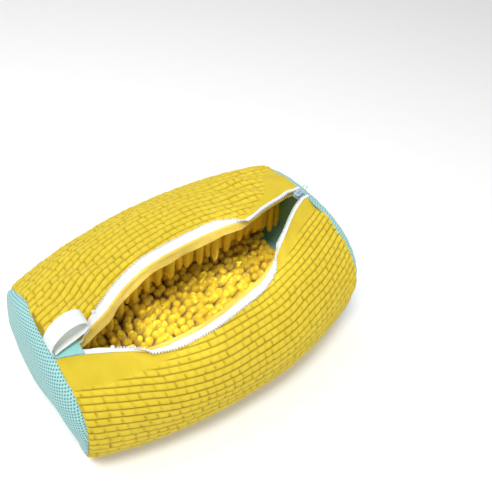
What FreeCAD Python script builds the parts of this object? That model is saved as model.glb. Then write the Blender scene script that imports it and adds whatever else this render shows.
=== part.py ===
import FreeCAD, Part
import math
import os

Vector = FreeCAD.Vector

# ---------------------------------------------------------------- sizes, mm
# X runs along the bag, Y across it (the front lip is at -Y), Z up.
half_length = 172.0            # middle of the bag to the seam of an end panel

# The cross-section is a squashed round: left end, middle, right end.
half_widths = (105.0, 145.0, 116.0)
heights = (131.0, 141.5, 150.0)
side_roundness = 2.4
top_roundness = 2.3
base_roundness = 3.0
base_share = 0.45              # share of the height below the widest line
base_flat = 1.5                # depth of cloth pressed flat where the bag rests

# Cloth layers, measured inwards from the outside of the cover.
cover_thickness = 4.0
backing_thickness = 1.0
pile_depth = 22.0
layer_gap = 0.15               # air between one layer and the next
facing_width = 14.0
pile_half_length = 152.0
pile_base_top = 38.0           # the base pile ends here and the wall piles start

# Round end panels.
panel_bulges = (21.5, 22.3)
panel_thickness = 1.6
lining_thickness = 1.0
binding_width = 8.0
binding_thickness = 2.0

# Zip: tape, teeth, stops, slider.
tape_thickness = 0.9
tape_step = 6.0                # distance between the sections that tape and teeth are built on
teeth_width = 2.6
teeth_thickness = 2.2
tape_depth = 1.5               # the tape is sewn on this far below the cover's face
tape_lift = 1.7                # the folded-out tape lies this far above the cover
stop_length = 4.0
slider_start = (162.0, 0.0)
slider_end = (-114.0, -45.0)
slider_length = 12.0
slider_width = 8.4
slider_plate = 1.2
slider_gap = 3.2
bridge_width = 1.6
wire_radius = 0.6
pull_arm_gap = 2.6
pull_length = 13.0

# Hanging loop and tab at the left end.
loop_width = 19.0
loop_thickness = 1.4
loop_root = (-171.0, -28.0)
loop_lift = 2.6
tab_thickness = 1.3

# The two lips of the mouth. Each row is x, y, how far the tape is turned over (0 lies inwards,
# 1 lies outwards on the cover) and the width of tape that shows there.
front_lip = (
    (-150.0, -46.0, 0, 4), (-143.0, -49.6, 0, 6.5), (-135.0, -54.0, 0, 8), (-121.0, -61.5, 0, 8),
    (-108.0, -69.0, 0, 9), (-96.0, -75.0, 0.1, 11), (-84.0, -78.0, 0.55, 13), (-72.0, -80.0, 0.95, 14),
    (-52.0, -82.0, 1, 14), (-32.0, -83.0, 1, 14), (-11.0, -81.5, 1, 14), (9.0, -79.0, 1, 14),
    (28.0, -76.5, 1, 14), (45.0, -73.0, 1, 14), (60.0, -67.5, 0.9, 14), (76.0, -60.0, 0.5, 12),
    (92.0, -51.0, 0.1, 9), (108.0, -41.0, 0, 8), (127.0, -28.5, 0, 8), (144.0, -18.5, 0, 8),
    (153.0, -14.6, 0, 8), (158.5, -12.1, 0, 8), (163.0, -10.8, 0, 8), (171.0, -10.6, 0, 8),
)
back_lip = (
    (-150.0, -32.0, 0, 3.5), (-146.5, -32.2, 0, 4), (-138.0, -31.6, 0.45, 8), (-127.0, -28.6, 0.75, 12),
    (-110.0, -22.5, 0.8, 14), (-98.0, -15.5, 0.8, 14), (-86.0, -9.5, 0.8, 14), (-71.0, -3.5, 0.8, 14),
    (-53.0, 2.0, 0.8, 14), (-35.0, 4.0, 0.8, 14), (-17.0, 5.0, 0.8, 14), (5.0, 5.0, 0.8, 14),
    (27.0, 4.2, 0.8, 14), (47.0, 2.8, 0.78, 14), (62.0, 1.6, 0.65, 13), (75.0, 1.4, 0.35, 10),
    (85.0, 3.4, 0, 8.5), (97.0, 6.0, 0, 8), (110.0, 8.5, 0, 8), (125.0, 10.0, 0, 8),
    (140.0, 11.0, 0, 8), (152.0, 12.9, 0, 8), (158.5, 12.0, 0, 8), (163.0, 10.8, 0, 8),
    (171.0, 10.6, 0, 8),
)
teeth_from_x = -120.0
teeth_to_x = 168.0


# ---------------------------------------------------------------- body surface
def along(values, x):
    """Value at x of a size given for the left end, the middle and the right end."""
    left, middle, right = values
    u = x / half_length
    straight = (left + right) / 2 + (right - left) / 2 * u
    return straight + (middle - (left + right) / 2) * (1 - abs(u) ** 2.2)


def power(value, exponent):
    return math.copysign(abs(value) ** exponent, value)


def section_points(x, inset, shrink=1.0, count=28):
    """Points round the cross-section at x, moved inwards by inset."""
    half_width = (along(half_widths, x) - inset) * shrink
    height = along(heights, x)
    middle_z = height * base_share - base_flat
    above = (height * (1 - base_share) - inset) * shrink
    below = (height * base_share - inset) * shrink
    points = []
    for i in range(count):
        angle = 2 * math.pi * i / count
        y = half_width * power(math.cos(angle), 2 / side_roundness)
        if math.sin(angle) >= 0:
            z = middle_z + above * power(math.sin(angle), 2 / top_roundness)
        else:
            z = middle_z + below * power(math.sin(angle), 2 / base_roundness)
        points.append(Vector(x, y, z))
    return points


def closed_curve(points):
    curve = Part.BSplineCurve()
    curve.interpolate(Points=points, PeriodicFlag=True)
    return Part.Wire(curve.toShape())


def top_z(x, y):
    """Height of the cover's outer face above the point x, y."""
    height = along(heights, x)
    reach = min(1.0, abs(y) / along(half_widths, x))
    above = height * (1 - base_share) * (1 - reach ** side_roundness) ** (1 / top_roundness)
    return height * base_share - base_flat + above


def body(inset, overrun=0.0):
    """Solid bounded by the cross-sections, open ends closed by flat faces."""
    reach = half_length + overrun
    stations = [reach * (-1 + 2 * i / 10) for i in range(11)]
    return Part.makeLoft([closed_curve(section_points(x, inset)) for x in stations], True)


def layer(outer_inset, inner_inset):
    """Tube of cloth between two insets over the whole length."""
    return body(outer_inset).cut(body(inner_inset, 3.0))


def box(low, high):
    size = [b - a for a, b in zip(low, high)]
    return Part.makeBox(size[0], size[1], size[2], Vector(*low))


# ---------------------------------------------------------------- mouth outline
def smooth(value, low, high):
    t = max(0.0, min(1.0, (value - low) / (high - low)))
    return t * t * (3 - 2 * t)


def lip_at(lip, x):
    """Place across the bag, turn of the tape and width of the tape at x on a lip."""
    last = len(lip) - 1
    i = 0
    while i < last - 1 and lip[i + 1][0] < x:
        i += 1
    a, b = lip[i], lip[i + 1]
    before = lip[max(i - 1, 0)]
    after = lip[min(i + 2, last)]
    slope_a = (b[1] - before[1]) / (b[0] - before[0])
    slope_b = (after[1] - a[1]) / (after[0] - a[0])
    width = b[0] - a[0]
    t = max(0.0, min(1.0, (x - a[0]) / width))
    y = (a[1] * (1 + 2 * t) * (1 - t) ** 2 + b[1] * t * t * (3 - 2 * t)
         + width * (slope_a * t * (1 - t) ** 2 - slope_b * t * t * (1 - t)))
    eased = smooth(t, 0, 1)
    return y, a[2] + (b[2] - a[2]) * eased, a[3] + (b[3] - a[3]) * eased


def lip_curve(lip, outwards, height, to_x):
    """Curve of a lip in plan, moved outwards from the mouth, at one height."""
    side = -1 if lip is front_lip else 1
    from_x = lip[0][0]
    steps = 54
    stations = [from_x + (lip[-1][0] - from_x) * i / steps for i in range(steps + 1)] + [to_x]
    points = [Vector(x, lip_at(lip, x)[0] + side * outwards, height) for x in stations]
    curve = Part.BSplineCurve()
    curve.interpolate(Points=points)
    return curve


def prism(curve_a, curve_b, rise):
    """Upright solid over the area between two plan curves."""
    edge_a = curve_a.toShape()
    edge_b = curve_b.toShape()
    left = Part.makeLine(edge_a.valueAt(edge_a.FirstParameter), edge_b.valueAt(edge_b.FirstParameter))
    right = Part.makeLine(edge_a.valueAt(edge_a.LastParameter), edge_b.valueAt(edge_b.LastParameter))
    wire = Part.Wire(Part.__sortEdges__([edge_a, right, edge_b, left]))
    return Part.Face(wire).extrude(Vector(0, 0, rise))


def mouth(outwards):
    """Upright solid through the mouth, widened outwards by a margin."""
    front = lip_curve(front_lip, outwards, 60, 200)
    back = lip_curve(back_lip, outwards, 60, 200)
    opening = prism(front, back, 150)
    if outwards > 0:
        front_y = front_lip[0][1] - outwards
        back_y = back_lip[0][1] + outwards
        opening = opening.fuse(box((-150 - outwards, front_y, 60), (-149, back_y, 210)))
    return opening


def lip_strip(lip, width):
    """Upright solid over a strip of cloth along one lip."""
    return prism(lip_curve(lip, 0.1, 60, 200), lip_curve(lip, width, 60, 200), 150)


# ---------------------------------------------------------------- zip
start_z = top_z(*slider_start) - tape_depth
end_z = top_z(*slider_end) - tape_depth
slider_from = Vector(slider_start[0], slider_start[1], start_z)
slider_to = Vector(slider_end[0], slider_end[1], end_z)
travel = slider_to - slider_from


def zip_plane_z(x):
    """Height of the plane the slider travels in."""
    return start_z + (x - slider_start[0]) * (end_z - start_z) / (slider_end[0] - slider_start[0])


def tape_section(lip, x, near, far, thickness):
    """Rectangle across the tape at x. Near and far are distances from the tape's inner edge."""
    inwards = 1 if lip is front_lip else -1
    lip_y, turn, width = lip_at(lip, x)
    angle = math.pi * turn
    turned = (1 - math.cos(angle)) / 2
    flat = smooth(x, 78.0, 96.0)
    sewn_z = top_z(x, lip_y) - tape_depth + (tape_depth + tape_lift) * turned
    sewn_z = sewn_z * (1 - flat) + zip_plane_z(x) * flat
    full = width + teeth_width
    free_y = lip_y + inwards * full * math.cos(angle)
    drop = (top_z(x, free_y) - top_z(x, lip_y)) * turned
    free_z = sewn_z + full * math.sin(angle) + drop
    sewn = Vector(x, lip_y, sewn_z)
    across = (Vector(x, free_y, free_z) - sewn).normalize()
    up = across.cross(Vector(1, 0, 0)) * (thickness / 2)
    start = sewn + across * (0.3 if near is None else width + near)
    end = sewn + across * (width + far)
    return Part.makePolygon([start + up, end + up, end - up, start - up, start + up])


def tape_bar(lip, near, far, thickness, from_x, to_x):
    """Strip that follows the tape. Near is None for one that starts at the lip.

    Its sections stand on one grid along x, so tape and teeth keep the same gap between them.
    """
    first = math.floor(from_x / tape_step) + 1
    last = math.ceil(to_x / tape_step) - 1
    stations = [from_x] + [tape_step * i for i in range(first, last + 1)] + [to_x]
    sections = [tape_section(lip, x, near, far, thickness) for x in stations]
    return Part.makeLoft(sections, True, True)


def on_zip(shape):
    """Moves a shape drawn at the origin, with its nose at -X, to the slider's rest place."""
    shape = shape.copy()
    turn = FreeCAD.Rotation(Vector(-1, 0, 0), travel)
    shape.Placement = FreeCAD.Placement(slider_from, turn).multiply(shape.Placement)
    return shape


def rounded_plate(length, width, thickness, radius, low_z):
    plate = box((-length / 2, -width / 2, low_z), (length / 2, width / 2, low_z + thickness))
    uprights = [e for e in plate.Edges if abs(e.tangentAt(e.FirstParameter).z) > 0.99]
    return plate.makeFillet(radius, uprights)


def slider_body():
    """Two plates joined by a bridge at the open end of the zip, with an arch for the pull."""
    half_gap = slider_gap / 2
    top = rounded_plate(slider_length, slider_width, slider_plate, 2.0, half_gap)
    bottom = rounded_plate(slider_length, slider_width, slider_plate, 2.0, -half_gap - slider_plate)
    bridge = box((-slider_length / 2, -bridge_width / 2, -half_gap - 0.2),
                 (-slider_length / 2 + 2.6, bridge_width / 2, half_gap + 0.2))
    plate_top = half_gap + slider_plate
    arch = box((-4.0, -0.8, plate_top - 0.2), (3.4, 0.8, plate_top + 3.0))
    space = box((-2.8, -1.0, plate_top), (2.2, 1.0, plate_top + 2.0))
    return top.fuse([bottom, bridge, arch.cut(space)]).removeSplitter()


pull_pivot_z = slider_gap / 2 + slider_plate + 1.0


def slider_pull():
    """U of round wire: a bar under the arch, two arms and a rounded end."""
    bar = Part.makeCylinder(wire_radius, 2 * pull_arm_gap, Vector(0, -pull_arm_gap, 0), Vector(0, 1, 0))
    shape = bar
    for y in (-pull_arm_gap, pull_arm_gap):
        arm = Part.makeCylinder(wire_radius, pull_length, Vector(0, y, 0), Vector(1, 0, 0))
        shape = shape.fuse([arm, Part.makeSphere(wire_radius, Vector(0, y, 0))])
    bend = Part.makeTorus(pull_arm_gap, wire_radius, Vector(pull_length, 0, 0), Vector(0, 0, 1))
    bend = bend.common(box((pull_length, -10, -5), (pull_length + 10, 10, 5)))
    shape = shape.fuse(bend).removeSplitter()
    shape.translate(Vector(0, 0, pull_pivot_z))
    return shape


def bottom_stop():
    """Block that joins the two rows of teeth behind the slider."""
    x = teeth_to_x + 0.4
    y = slider_start[1]
    z = zip_plane_z(x)
    return box((x, y - 2.4, z - 1.3), (x + 2.6, y + 2.4, z + 1.3))


# ---------------------------------------------------------------- ends
def dome(side, inset):
    """Solid under an end panel's bulge, on the flat end of the bag."""
    bulge = panel_bulges[0 if side < 0 else 1] - inset
    end_x = side * half_length
    wires = []
    for shrink in (1.0, 0.985, 0.94, 0.86, 0.72, 0.5, 0.25):
        points = section_points(end_x, inset + base_flat + 0.5, shrink)
        out = side * bulge * math.sqrt(1 - shrink ** 2)
        wires.append(closed_curve([p + Vector(out, 0, 0) for p in points]))
    return Part.makeLoft(wires, True)


def end_slab(side, width):
    """Upright slab of the bag's full section, next to an end seam."""
    x = sorted((side * (half_length - width), side * half_length))
    return box((x[0], -200, -20), (x[1], 200, 200))


# ---------------------------------------------------------------- loop and tab
def ribbon(points, thickness, low_y, width):
    """Band of webbing that follows points in the XZ plane."""
    outer = []
    inner = []
    for i, (x, z) in enumerate(points):
        before = points[max(i - 1, 0)]
        after = points[min(i + 1, len(points) - 1)]
        along_x = after[0] - before[0]
        along_z = after[1] - before[1]
        size = math.hypot(along_x, along_z)
        side_x = -along_z / size * thickness / 2
        side_z = along_x / size * thickness / 2
        outer.append(Vector(x + side_x, low_y, z + side_z))
        inner.append(Vector(x - side_x, low_y, z - side_z))
    curves = []
    for side_points in (outer, inner):
        curve = Part.BSplineCurve()
        curve.interpolate(Points=side_points)
        curves.append(curve.toShape())
    ends = [Part.makeLine(outer[0], inner[0]), Part.makeLine(outer[-1], inner[-1])]
    wire = Part.Wire(Part.__sortEdges__(curves + ends))
    return Part.Face(wire).extrude(Vector(0, width, 0))


def hanging_loop():
    """Webbing loop that stands on the left seam and leans over the zip."""
    root_x, root_y = loop_root
    root_z = top_z(root_x, root_y) + tab_thickness + loop_lift
    path = ((-0.8, 0), (-1.7, 5), (1.5, 12.5), (9, 19.5), (19, 24), (28, 24), (35, 20.5),
            (37.5, 15), (34, 10), (25, 6.4), (14, 4), (5, 2), (0.9, 0.2))
    points = [(root_x + x, root_z + z) for x, z in path]
    return ribbon(points, loop_thickness, root_y - loop_width / 2, loop_width)


def zip_end_tab():
    """Tab of cloth that covers the zip's left end, from the seam to the mouth."""
    corners = ((-171.9, -37), (-147.5, -47.5), (-147.5, -31), (-171.9, -20))
    wire = Part.makePolygon([Vector(x, y, 60) for x, y in corners + corners[:1]])
    return body(-tab_thickness).cut(body(-0.05, 3.0)).common(Part.Face(wire).extrude(Vector(0, 0, 150)))


# ---------------------------------------------------------------- assembly
def cloth_parts():
    """Cover, backing, facings and pile."""
    inner_face = cover_thickness + backing_thickness
    below_base = box((-250, -250, -50), (250, 250, 0))
    cover = layer(0, cover_thickness).cut(mouth(0)).cut(below_base)
    backing_tube = layer(cover_thickness + layer_gap, inner_face)
    backing = backing_tube.cut(mouth(facing_width + layer_gap))
    pile = layer(inner_face + layer_gap, inner_face + pile_depth).cut(mouth(facing_width))
    pile = pile.common(box((-pile_half_length, -200, -20), (pile_half_length, 200, 200)))
    above_base = box((-200, -200, pile_base_top), (200, 200, 200))
    walls = sorted(pile.common(above_base).Solids, key=lambda solid: solid.CenterOfMass.y)
    return {
        "outer_cover": cover,
        "cover_backing": backing,
        "facing_front": backing_tube.common(lip_strip(front_lip, facing_width)),
        "facing_back": backing_tube.common(lip_strip(back_lip, facing_width)),
        "chenille_base": pile.cut(above_base),
        "chenille_front": walls[0],
        "chenille_back": walls[-1],
    }


def zip_parts():
    """Tapes, teeth, stops, slider and pull."""
    parts = {}
    stop_from_x = teeth_from_x - stop_length - 0.3
    for name, lip in (("front", front_lip), ("back", back_lip)):
        parts["zip_tape_" + name] = tape_bar(lip, None, 0, tape_thickness, -149.5, 171.0)
        parts["zip_teeth_" + name] = tape_bar(lip, 0.15, teeth_width, teeth_thickness,
                                              teeth_from_x, teeth_to_x)
        parts["top_stop_" + name] = tape_bar(lip, 0.15, teeth_width + 0.6, teeth_thickness + 0.8,
                                             stop_from_x, stop_from_x + stop_length)
    parts["bottom_stop"] = bottom_stop()
    parts["slider_body"] = on_zip(slider_body())
    parts["slider_pull"] = on_zip(slider_pull())
    return parts


def end_parts():
    """Mesh panels, their linings and the bound seams inside."""
    parts = {}
    slot = mouth(2.0)
    inner_face = cover_thickness + backing_thickness
    for name, side in (("left", -1), ("right", 1)):
        lined = dome(side, panel_thickness)
        parts["end_panel_" + name] = dome(side, 0).cut(lined)
        parts["end_lining_" + name] = lined.cut(dome(side, panel_thickness + lining_thickness))
        ring = layer(inner_face + layer_gap, inner_face + binding_thickness)
        parts["seam_binding_" + name] = ring.common(end_slab(side, binding_width)).cut(slot)
    return parts


def base_centre(shapes):
    """Point under the middle of everything, at the height of the base."""
    whole = FreeCAD.BoundBox()
    for shape in shapes:
        whole.add(shape.BoundBox)
    return Vector(whole.Center.x, whole.Center.y, 0)


parts = {}
parts.update(cloth_parts())
parts.update(zip_parts())
parts.update(end_parts())
parts["hanging_loop"] = hanging_loop()
parts["zip_end_tab"] = zip_end_tab()

os.makedirs("parts", exist_ok=True)
origin = base_centre(parts.values())
for name, shape in parts.items():
    shape.translate(-origin)
    shape.exportStep("parts/" + name + ".step")
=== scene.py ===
import math

import bpy
import numpy as np
from mathutils import Matrix, Vector


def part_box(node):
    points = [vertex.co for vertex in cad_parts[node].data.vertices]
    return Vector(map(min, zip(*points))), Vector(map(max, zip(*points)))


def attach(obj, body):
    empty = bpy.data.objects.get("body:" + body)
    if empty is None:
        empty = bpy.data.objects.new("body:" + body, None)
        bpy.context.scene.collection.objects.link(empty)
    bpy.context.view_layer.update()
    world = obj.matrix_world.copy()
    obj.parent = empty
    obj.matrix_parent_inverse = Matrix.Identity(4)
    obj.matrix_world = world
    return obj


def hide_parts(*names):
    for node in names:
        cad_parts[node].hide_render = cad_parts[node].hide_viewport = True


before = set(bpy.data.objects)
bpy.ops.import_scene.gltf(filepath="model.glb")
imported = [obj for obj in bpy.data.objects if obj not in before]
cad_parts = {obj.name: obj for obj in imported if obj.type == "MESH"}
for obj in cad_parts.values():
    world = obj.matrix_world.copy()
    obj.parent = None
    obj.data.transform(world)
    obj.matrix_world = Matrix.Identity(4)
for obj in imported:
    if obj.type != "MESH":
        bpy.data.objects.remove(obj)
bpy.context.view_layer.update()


# ------------------------------------------------------------------ studio
# The bag lies on a plain pale sheet of white laminate under soft studio lights, seen from
# above its front left. Two narrow lamps reach down into the mouth, which is dark without them.
cover_low, cover_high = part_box("outer_cover")
middle_x = (cover_low.x + cover_high.x) / 2
half_length = (cover_high.x - cover_low.x) / 2

camera_data = bpy.data.cameras.new("camera")
camera_data.sensor_width = 36.0
camera_data.lens = 36.95
camera_data.clip_end = 20.0
camera = bpy.data.objects.new("camera", camera_data)
bpy.context.collection.objects.link(camera)
camera_place = Vector((middle_x - 0.2067, -0.3111, 0.5614))
camera_aim = Vector((middle_x + 0.1017, 0.0171, 0.070))
camera_roll = math.radians(7.84)
camera.location = camera_place
camera.rotation_mode = "QUATERNION"
facing = (camera_aim - camera_place).to_track_quat("-Z", "Y")
camera.rotation_quaternion = facing @ Matrix.Rotation(camera_roll, 3, "Z").to_quaternion()
bpy.context.scene.camera = camera
bpy.context.scene.view_settings.view_transform = "Standard"

world = bpy.data.worlds.new("studio")
world.use_nodes = True
sky = world.node_tree.nodes["Background"]
sky.inputs["Color"].default_value = (1.0, 1.0, 1.0, 1.0)
sky.inputs["Strength"].default_value = 0.58
bpy.context.scene.world = world


def add_light(name, place, aim, size, power):
    light_data = bpy.data.lights.new(name, "AREA")
    light_data.shape = "DISK"
    light_data.size = size
    light_data.energy = power
    light = bpy.data.objects.new(name, light_data)
    bpy.context.collection.objects.link(light)
    light.location = place
    light.rotation_mode = "QUATERNION"
    light.rotation_quaternion = (Vector(aim) - Vector(place)).to_track_quat("-Z", "Y")
    return light


mouth_lamp_place = (-0.09, -0.22, 0.72)
mouth_lamp_spread = math.radians(11)
for end, aim in (("left", (-0.050, -0.034, 0.09)), ("right", (0.052, -0.022, 0.09))):
    mouth_light = add_light("mouth_light_" + end, mouth_lamp_place, aim, 0.05, 0.029)
    mouth_light.data.spread = mouth_lamp_spread
add_light("key_light", (-0.35, -0.25, 1.5), (0.02, -0.02, 0.05), 0.45, 13.0)
add_light("back_light", (-0.8, 0.9, 1.4), (0, 0, 0.05), 0.9, 6.0)
add_light("fill_light", (0.9, -1.3, 1.2), (0, 0, 0.08), 1.4, 6.0)


def new_material(name, colour, roughness):
    """Principled material with its nodes at hand: returns material, nodes, links, shader."""
    made = bpy.data.materials.new(name)
    made.use_nodes = True
    tree = made.node_tree
    shader = tree.nodes["Principled BSDF"]
    shader.inputs["Base Color"].default_value = (*colour, 1.0)
    shader.inputs["Roughness"].default_value = roughness
    return made, tree.nodes, tree.links, shader


def add_noise(nodes, links, place, scale, detail=2.0):
    """Cloudy texture over the given place output, or over the piece's own box if there is none."""
    noise = nodes.new("ShaderNodeTexNoise")
    noise.inputs["Scale"].default_value = scale
    noise.inputs["Detail"].default_value = detail
    if place:
        links.new(place, noise.inputs["Vector"])
    return noise.outputs["Fac"]


def colour_range(nodes, links, amount, first, second, start=0.0, end=1.0):
    """Colour that goes from the first to the second as amount goes from start to end."""
    ramp = nodes.new("ShaderNodeValToRGB")
    ramp.color_ramp.elements[0].position = start
    ramp.color_ramp.elements[0].color = (*first, 1)
    ramp.color_ramp.elements[1].position = end
    ramp.color_ramp.elements[1].color = (*second, 1)
    links.new(amount, ramp.inputs["Fac"])
    return ramp.outputs["Color"]


def mesh_object(name, points, faces, material, smooth=True):
    mesh = bpy.data.meshes.new(name)
    mesh.from_pydata([tuple(p) for p in points], [], [tuple(f) for f in faces])
    mesh.materials.append(material)
    mesh.polygons.foreach_set("use_smooth", [smooth] * len(mesh.polygons))
    mesh.update()
    piece = bpy.data.objects.new(name, mesh)
    bpy.context.collection.objects.link(piece)
    return piece


floor_paint, nodes, links, shader = new_material("white_laminate", (0.93, 0.93, 0.93), 0.6)
speckle = add_noise(nodes, links, None, 300.0)
floor_shade = colour_range(nodes, links, speckle, (0.92, 0.92, 0.92), (0.94, 0.94, 0.94))
links.new(floor_shade, shader.inputs["Base Color"])
floor_reach = 6.0
floor_z = -0.0005
floor_corners = [(x * floor_reach, y * floor_reach, floor_z) for x, y in ((-1, -1), (1, -1), (1, 1), (-1, 1))]
floor = mesh_object("floor", floor_corners, [(0, 1, 2, 3)], floor_paint)


# ------------------------------------------------------------------ quilted cover
# One long piece of padded yellow cloth, wrapped round the bag and sewn through in rows of
# small, nearly square pillows. Its two long edges are the lips of the zip mouth, and its
# ends are sewn to the round mesh panels.

# Widths and heights at the left end, the middle and the right end of the bag.
half_widths = (0.105, 0.145, 0.116)
heights = (0.131, 0.1415, 0.150)
side_roundness = 2.4
top_roundness = 2.3
base_roundness = 3.0
base_share = 0.45
base_flat = 0.0015

# x from the middle, place across, turn of the tape (0 lies in, 1 lies out) and tape width.
front_lip = np.array((
    (-0.172, -0.0365, 0, 0.007), (-0.160, -0.0415, 0, 0.007), (-0.150, -0.0460, 0, 0.007),
    (-0.143, -0.0496, 0, 0.0065), (-0.135, -0.0540, 0, 0.008), (-0.121, -0.0615, 0, 0.008),
    (-0.114, -0.0657, 0, 0.009), (-0.102, -0.0723, 0.50, 0.011), (-0.092, -0.0763, 0.95, 0.013),
    (-0.072, -0.0800, 1, 0.014), (-0.052, -0.0820, 1, 0.014), (-0.032, -0.0830, 1, 0.014),
    (-0.011, -0.0815, 1, 0.014), (0.009, -0.0790, 1, 0.014), (0.028, -0.0765, 1, 0.014),
    (0.045, -0.0730, 1, 0.014), (0.060, -0.0675, 0.90, 0.014), (0.076, -0.0600, 0.50, 0.012),
    (0.092, -0.0510, 0.10, 0.009), (0.108, -0.0410, 0, 0.008), (0.127, -0.0285, 0, 0.008),
    (0.144, -0.0185, 0, 0.008), (0.153, -0.0146, 0, 0.008), (0.1585, -0.0121, 0, 0.008),
    (0.163, -0.0108, 0, 0.008), (0.172, -0.0106, 0, 0.008)))
back_lip = np.array((
    (-0.172, -0.0210, 0, 0.0035), (-0.160, -0.0270, 0, 0.0035), (-0.150, -0.0320, 0, 0.0035),
    (-0.1465, -0.0322, 0, 0.004), (-0.138, -0.0316, 0.45, 0.008), (-0.127, -0.0286, 0.75, 0.012),
    (-0.110, -0.0225, 0.80, 0.014), (-0.098, -0.0155, 0.80, 0.014), (-0.086, -0.0095, 0.80, 0.014),
    (-0.071, -0.0035, 0.80, 0.014), (-0.053, 0.0020, 0.80, 0.014), (-0.035, 0.0040, 0.80, 0.014),
    (-0.017, 0.0050, 0.80, 0.014), (0.005, 0.0050, 0.80, 0.014), (0.027, 0.0042, 0.80, 0.014),
    (0.047, 0.0028, 0.78, 0.014), (0.062, 0.0016, 0.65, 0.013), (0.075, 0.0014, 0.35, 0.010),
    (0.085, 0.0034, 0, 0.0085), (0.097, 0.0060, 0, 0.008), (0.110, 0.0085, 0, 0.008),
    (0.125, 0.0100, 0, 0.008), (0.140, 0.0110, 0, 0.008), (0.152, 0.0129, 0, 0.008),
    (0.1585, 0.0120, 0, 0.008), (0.163, 0.0108, 0, 0.008), (0.172, 0.0106, 0, 0.008)))
inwards = {"front": 1.0, "back": -1.0}
lips = {"front": front_lip, "back": back_lip}


def ease(value, low, high):
    t = np.clip((value - low) / (high - low), 0.0, 1.0)
    return t * t * (3 - 2 * t)


def along(values, x):
    """A size at x, from its values at the left end, the middle and the right end."""
    left, middle, right = values
    u = x / half_length
    straight = (left + right) / 2 + (right - left) / 2 * u
    return straight + (middle - (left + right) / 2) * (1 - np.abs(u) ** 2.2)


def top_z(x, y):
    """Height of the cover's outside over x, y."""
    height = along(heights, x)
    reach = np.minimum(1.0, np.abs(y) / along(half_widths, x))
    above = height * (1 - base_share) * (1 - reach ** side_roundness) ** (1 / top_roundness)
    return height * base_share - base_flat + above


def lip_at(side, x):
    """Place across, turn and width of the tape at x (from the middle), as smooth curves."""
    rows = lips[side]
    x = np.clip(np.asarray(x, float), rows[0, 0], rows[-1, 0])
    i = np.clip(np.searchsorted(rows[:, 0], x) - 1, 0, len(rows) - 2)
    before = rows[np.maximum(i - 1, 0)]
    a = rows[i]
    b = rows[i + 1]
    after = rows[np.minimum(i + 2, len(rows) - 1)]
    width = b[..., 0] - a[..., 0]
    t = (x - a[..., 0]) / width
    slope_a = (b[..., 1] - before[..., 1]) / (b[..., 0] - before[..., 0])
    slope_b = (after[..., 1] - a[..., 1]) / (after[..., 0] - a[..., 0])
    y = (a[..., 1] * (1 + 2 * t) * (1 - t) ** 2 + b[..., 1] * t * t * (3 - 2 * t)
         + width * (slope_a * t * (1 - t) ** 2 - slope_b * t * t * (1 - t)))
    eased = t * t * (3 - 2 * t)
    return y, a[..., 2] + (b[..., 2] - a[..., 2]) * eased, a[..., 3] + (b[..., 3] - a[..., 3]) * eased


def signed_power(value, exponent):
    return np.sign(value) * np.abs(value) ** exponent


def section(x, angle, inset):
    """Points (y, z) of the cross-section at x for an angle: 0 back, half a turn front."""
    half_width = along(half_widths, x) - inset
    height = along(heights, x)
    side = np.cos(angle)
    rise = np.sin(angle)
    y = half_width * signed_power(side, 2 / side_roundness)
    above = (height * (1 - base_share) - inset) * signed_power(np.maximum(rise, 0), 2 / top_roundness)
    below = (height * base_share - inset) * signed_power(np.minimum(rise, 0), 2 / base_roundness)
    z = height * base_share - base_flat + above + below
    return y, z


# How finely the cloth's run round the bag is traced before it is measured.
trace_points = 1400


def wrap(x, inset, count, margin=0.0):
    """The cloth's run round the bag at x, from the front lip under the base to the back lip.

    Returns points (count, 2) at even steps of length, and the length.
    """
    half_width = along(half_widths, x) - inset
    front_y = lip_at("front", x)[0] - margin
    back_y = lip_at("back", x)[0] + margin
    start = np.arccos(signed_power(front_y / half_width, side_roundness / 2))
    end = np.arccos(signed_power(back_y / half_width, side_roundness / 2)) + 2 * np.pi
    y, z = section(x, np.linspace(start, end, trace_points), inset)
    run = np.concatenate(([0.0], np.cumsum(np.hypot(np.diff(y), np.diff(z)))))
    steps = np.linspace(0.0, run[-1], count)
    return np.stack([np.interp(steps, run, y), np.interp(steps, run, z)], axis=1), run[-1]


def grid_faces(rows, columns, offset=0, flip=False, close_columns=False):
    i = np.arange(rows - 1)[:, None]
    last = columns if close_columns else columns - 1
    j = np.arange(last)[None, :]
    k = (j + 1) % columns
    here = i * columns
    below = here + columns
    quads = np.stack([here + j, here + k, below + k, below + j], axis=-1).reshape(-1, 4) + offset
    return quads[:, ::-1] if flip else quads


def grid_normals(grid):
    """Unit normals of a (rows, columns, 3) grid of points."""
    down = np.gradient(grid, axis=0)
    across = np.gradient(grid, axis=1)
    normal = np.cross(across, down)
    size = np.linalg.norm(normal, axis=2, keepdims=True)
    return normal / np.maximum(size, 1e-12)


def smooth_noise(rows, columns, cells_down, cells_across, seed):
    """Soft random field between -1 and 1, with about that many waves each way."""
    rng = np.random.default_rng(seed)
    coarse = rng.uniform(-1, 1, (cells_down + 4, cells_across + 4))

    def resample(values, count):
        where = np.linspace(1, values.shape[0] - 3 - 1e-6, count)
        i = np.floor(where).astype(int)
        t = (where - i)[:, None]
        a, b, c, d = values[i - 1], values[i], values[i + 1], values[i + 2]
        return b + 0.5 * t * (c - a + t * (2 * a - 5 * b + 4 * c - d + t * (3 * (b - c) + d - a)))

    return resample(resample(coarse, rows).T, columns).T


def add_attribute(piece, name, values):
    layer = piece.data.attributes.new(name, "FLOAT", "POINT")
    layer.data.foreach_set("value", np.ascontiguousarray(values, dtype=np.float32).ravel())


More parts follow.
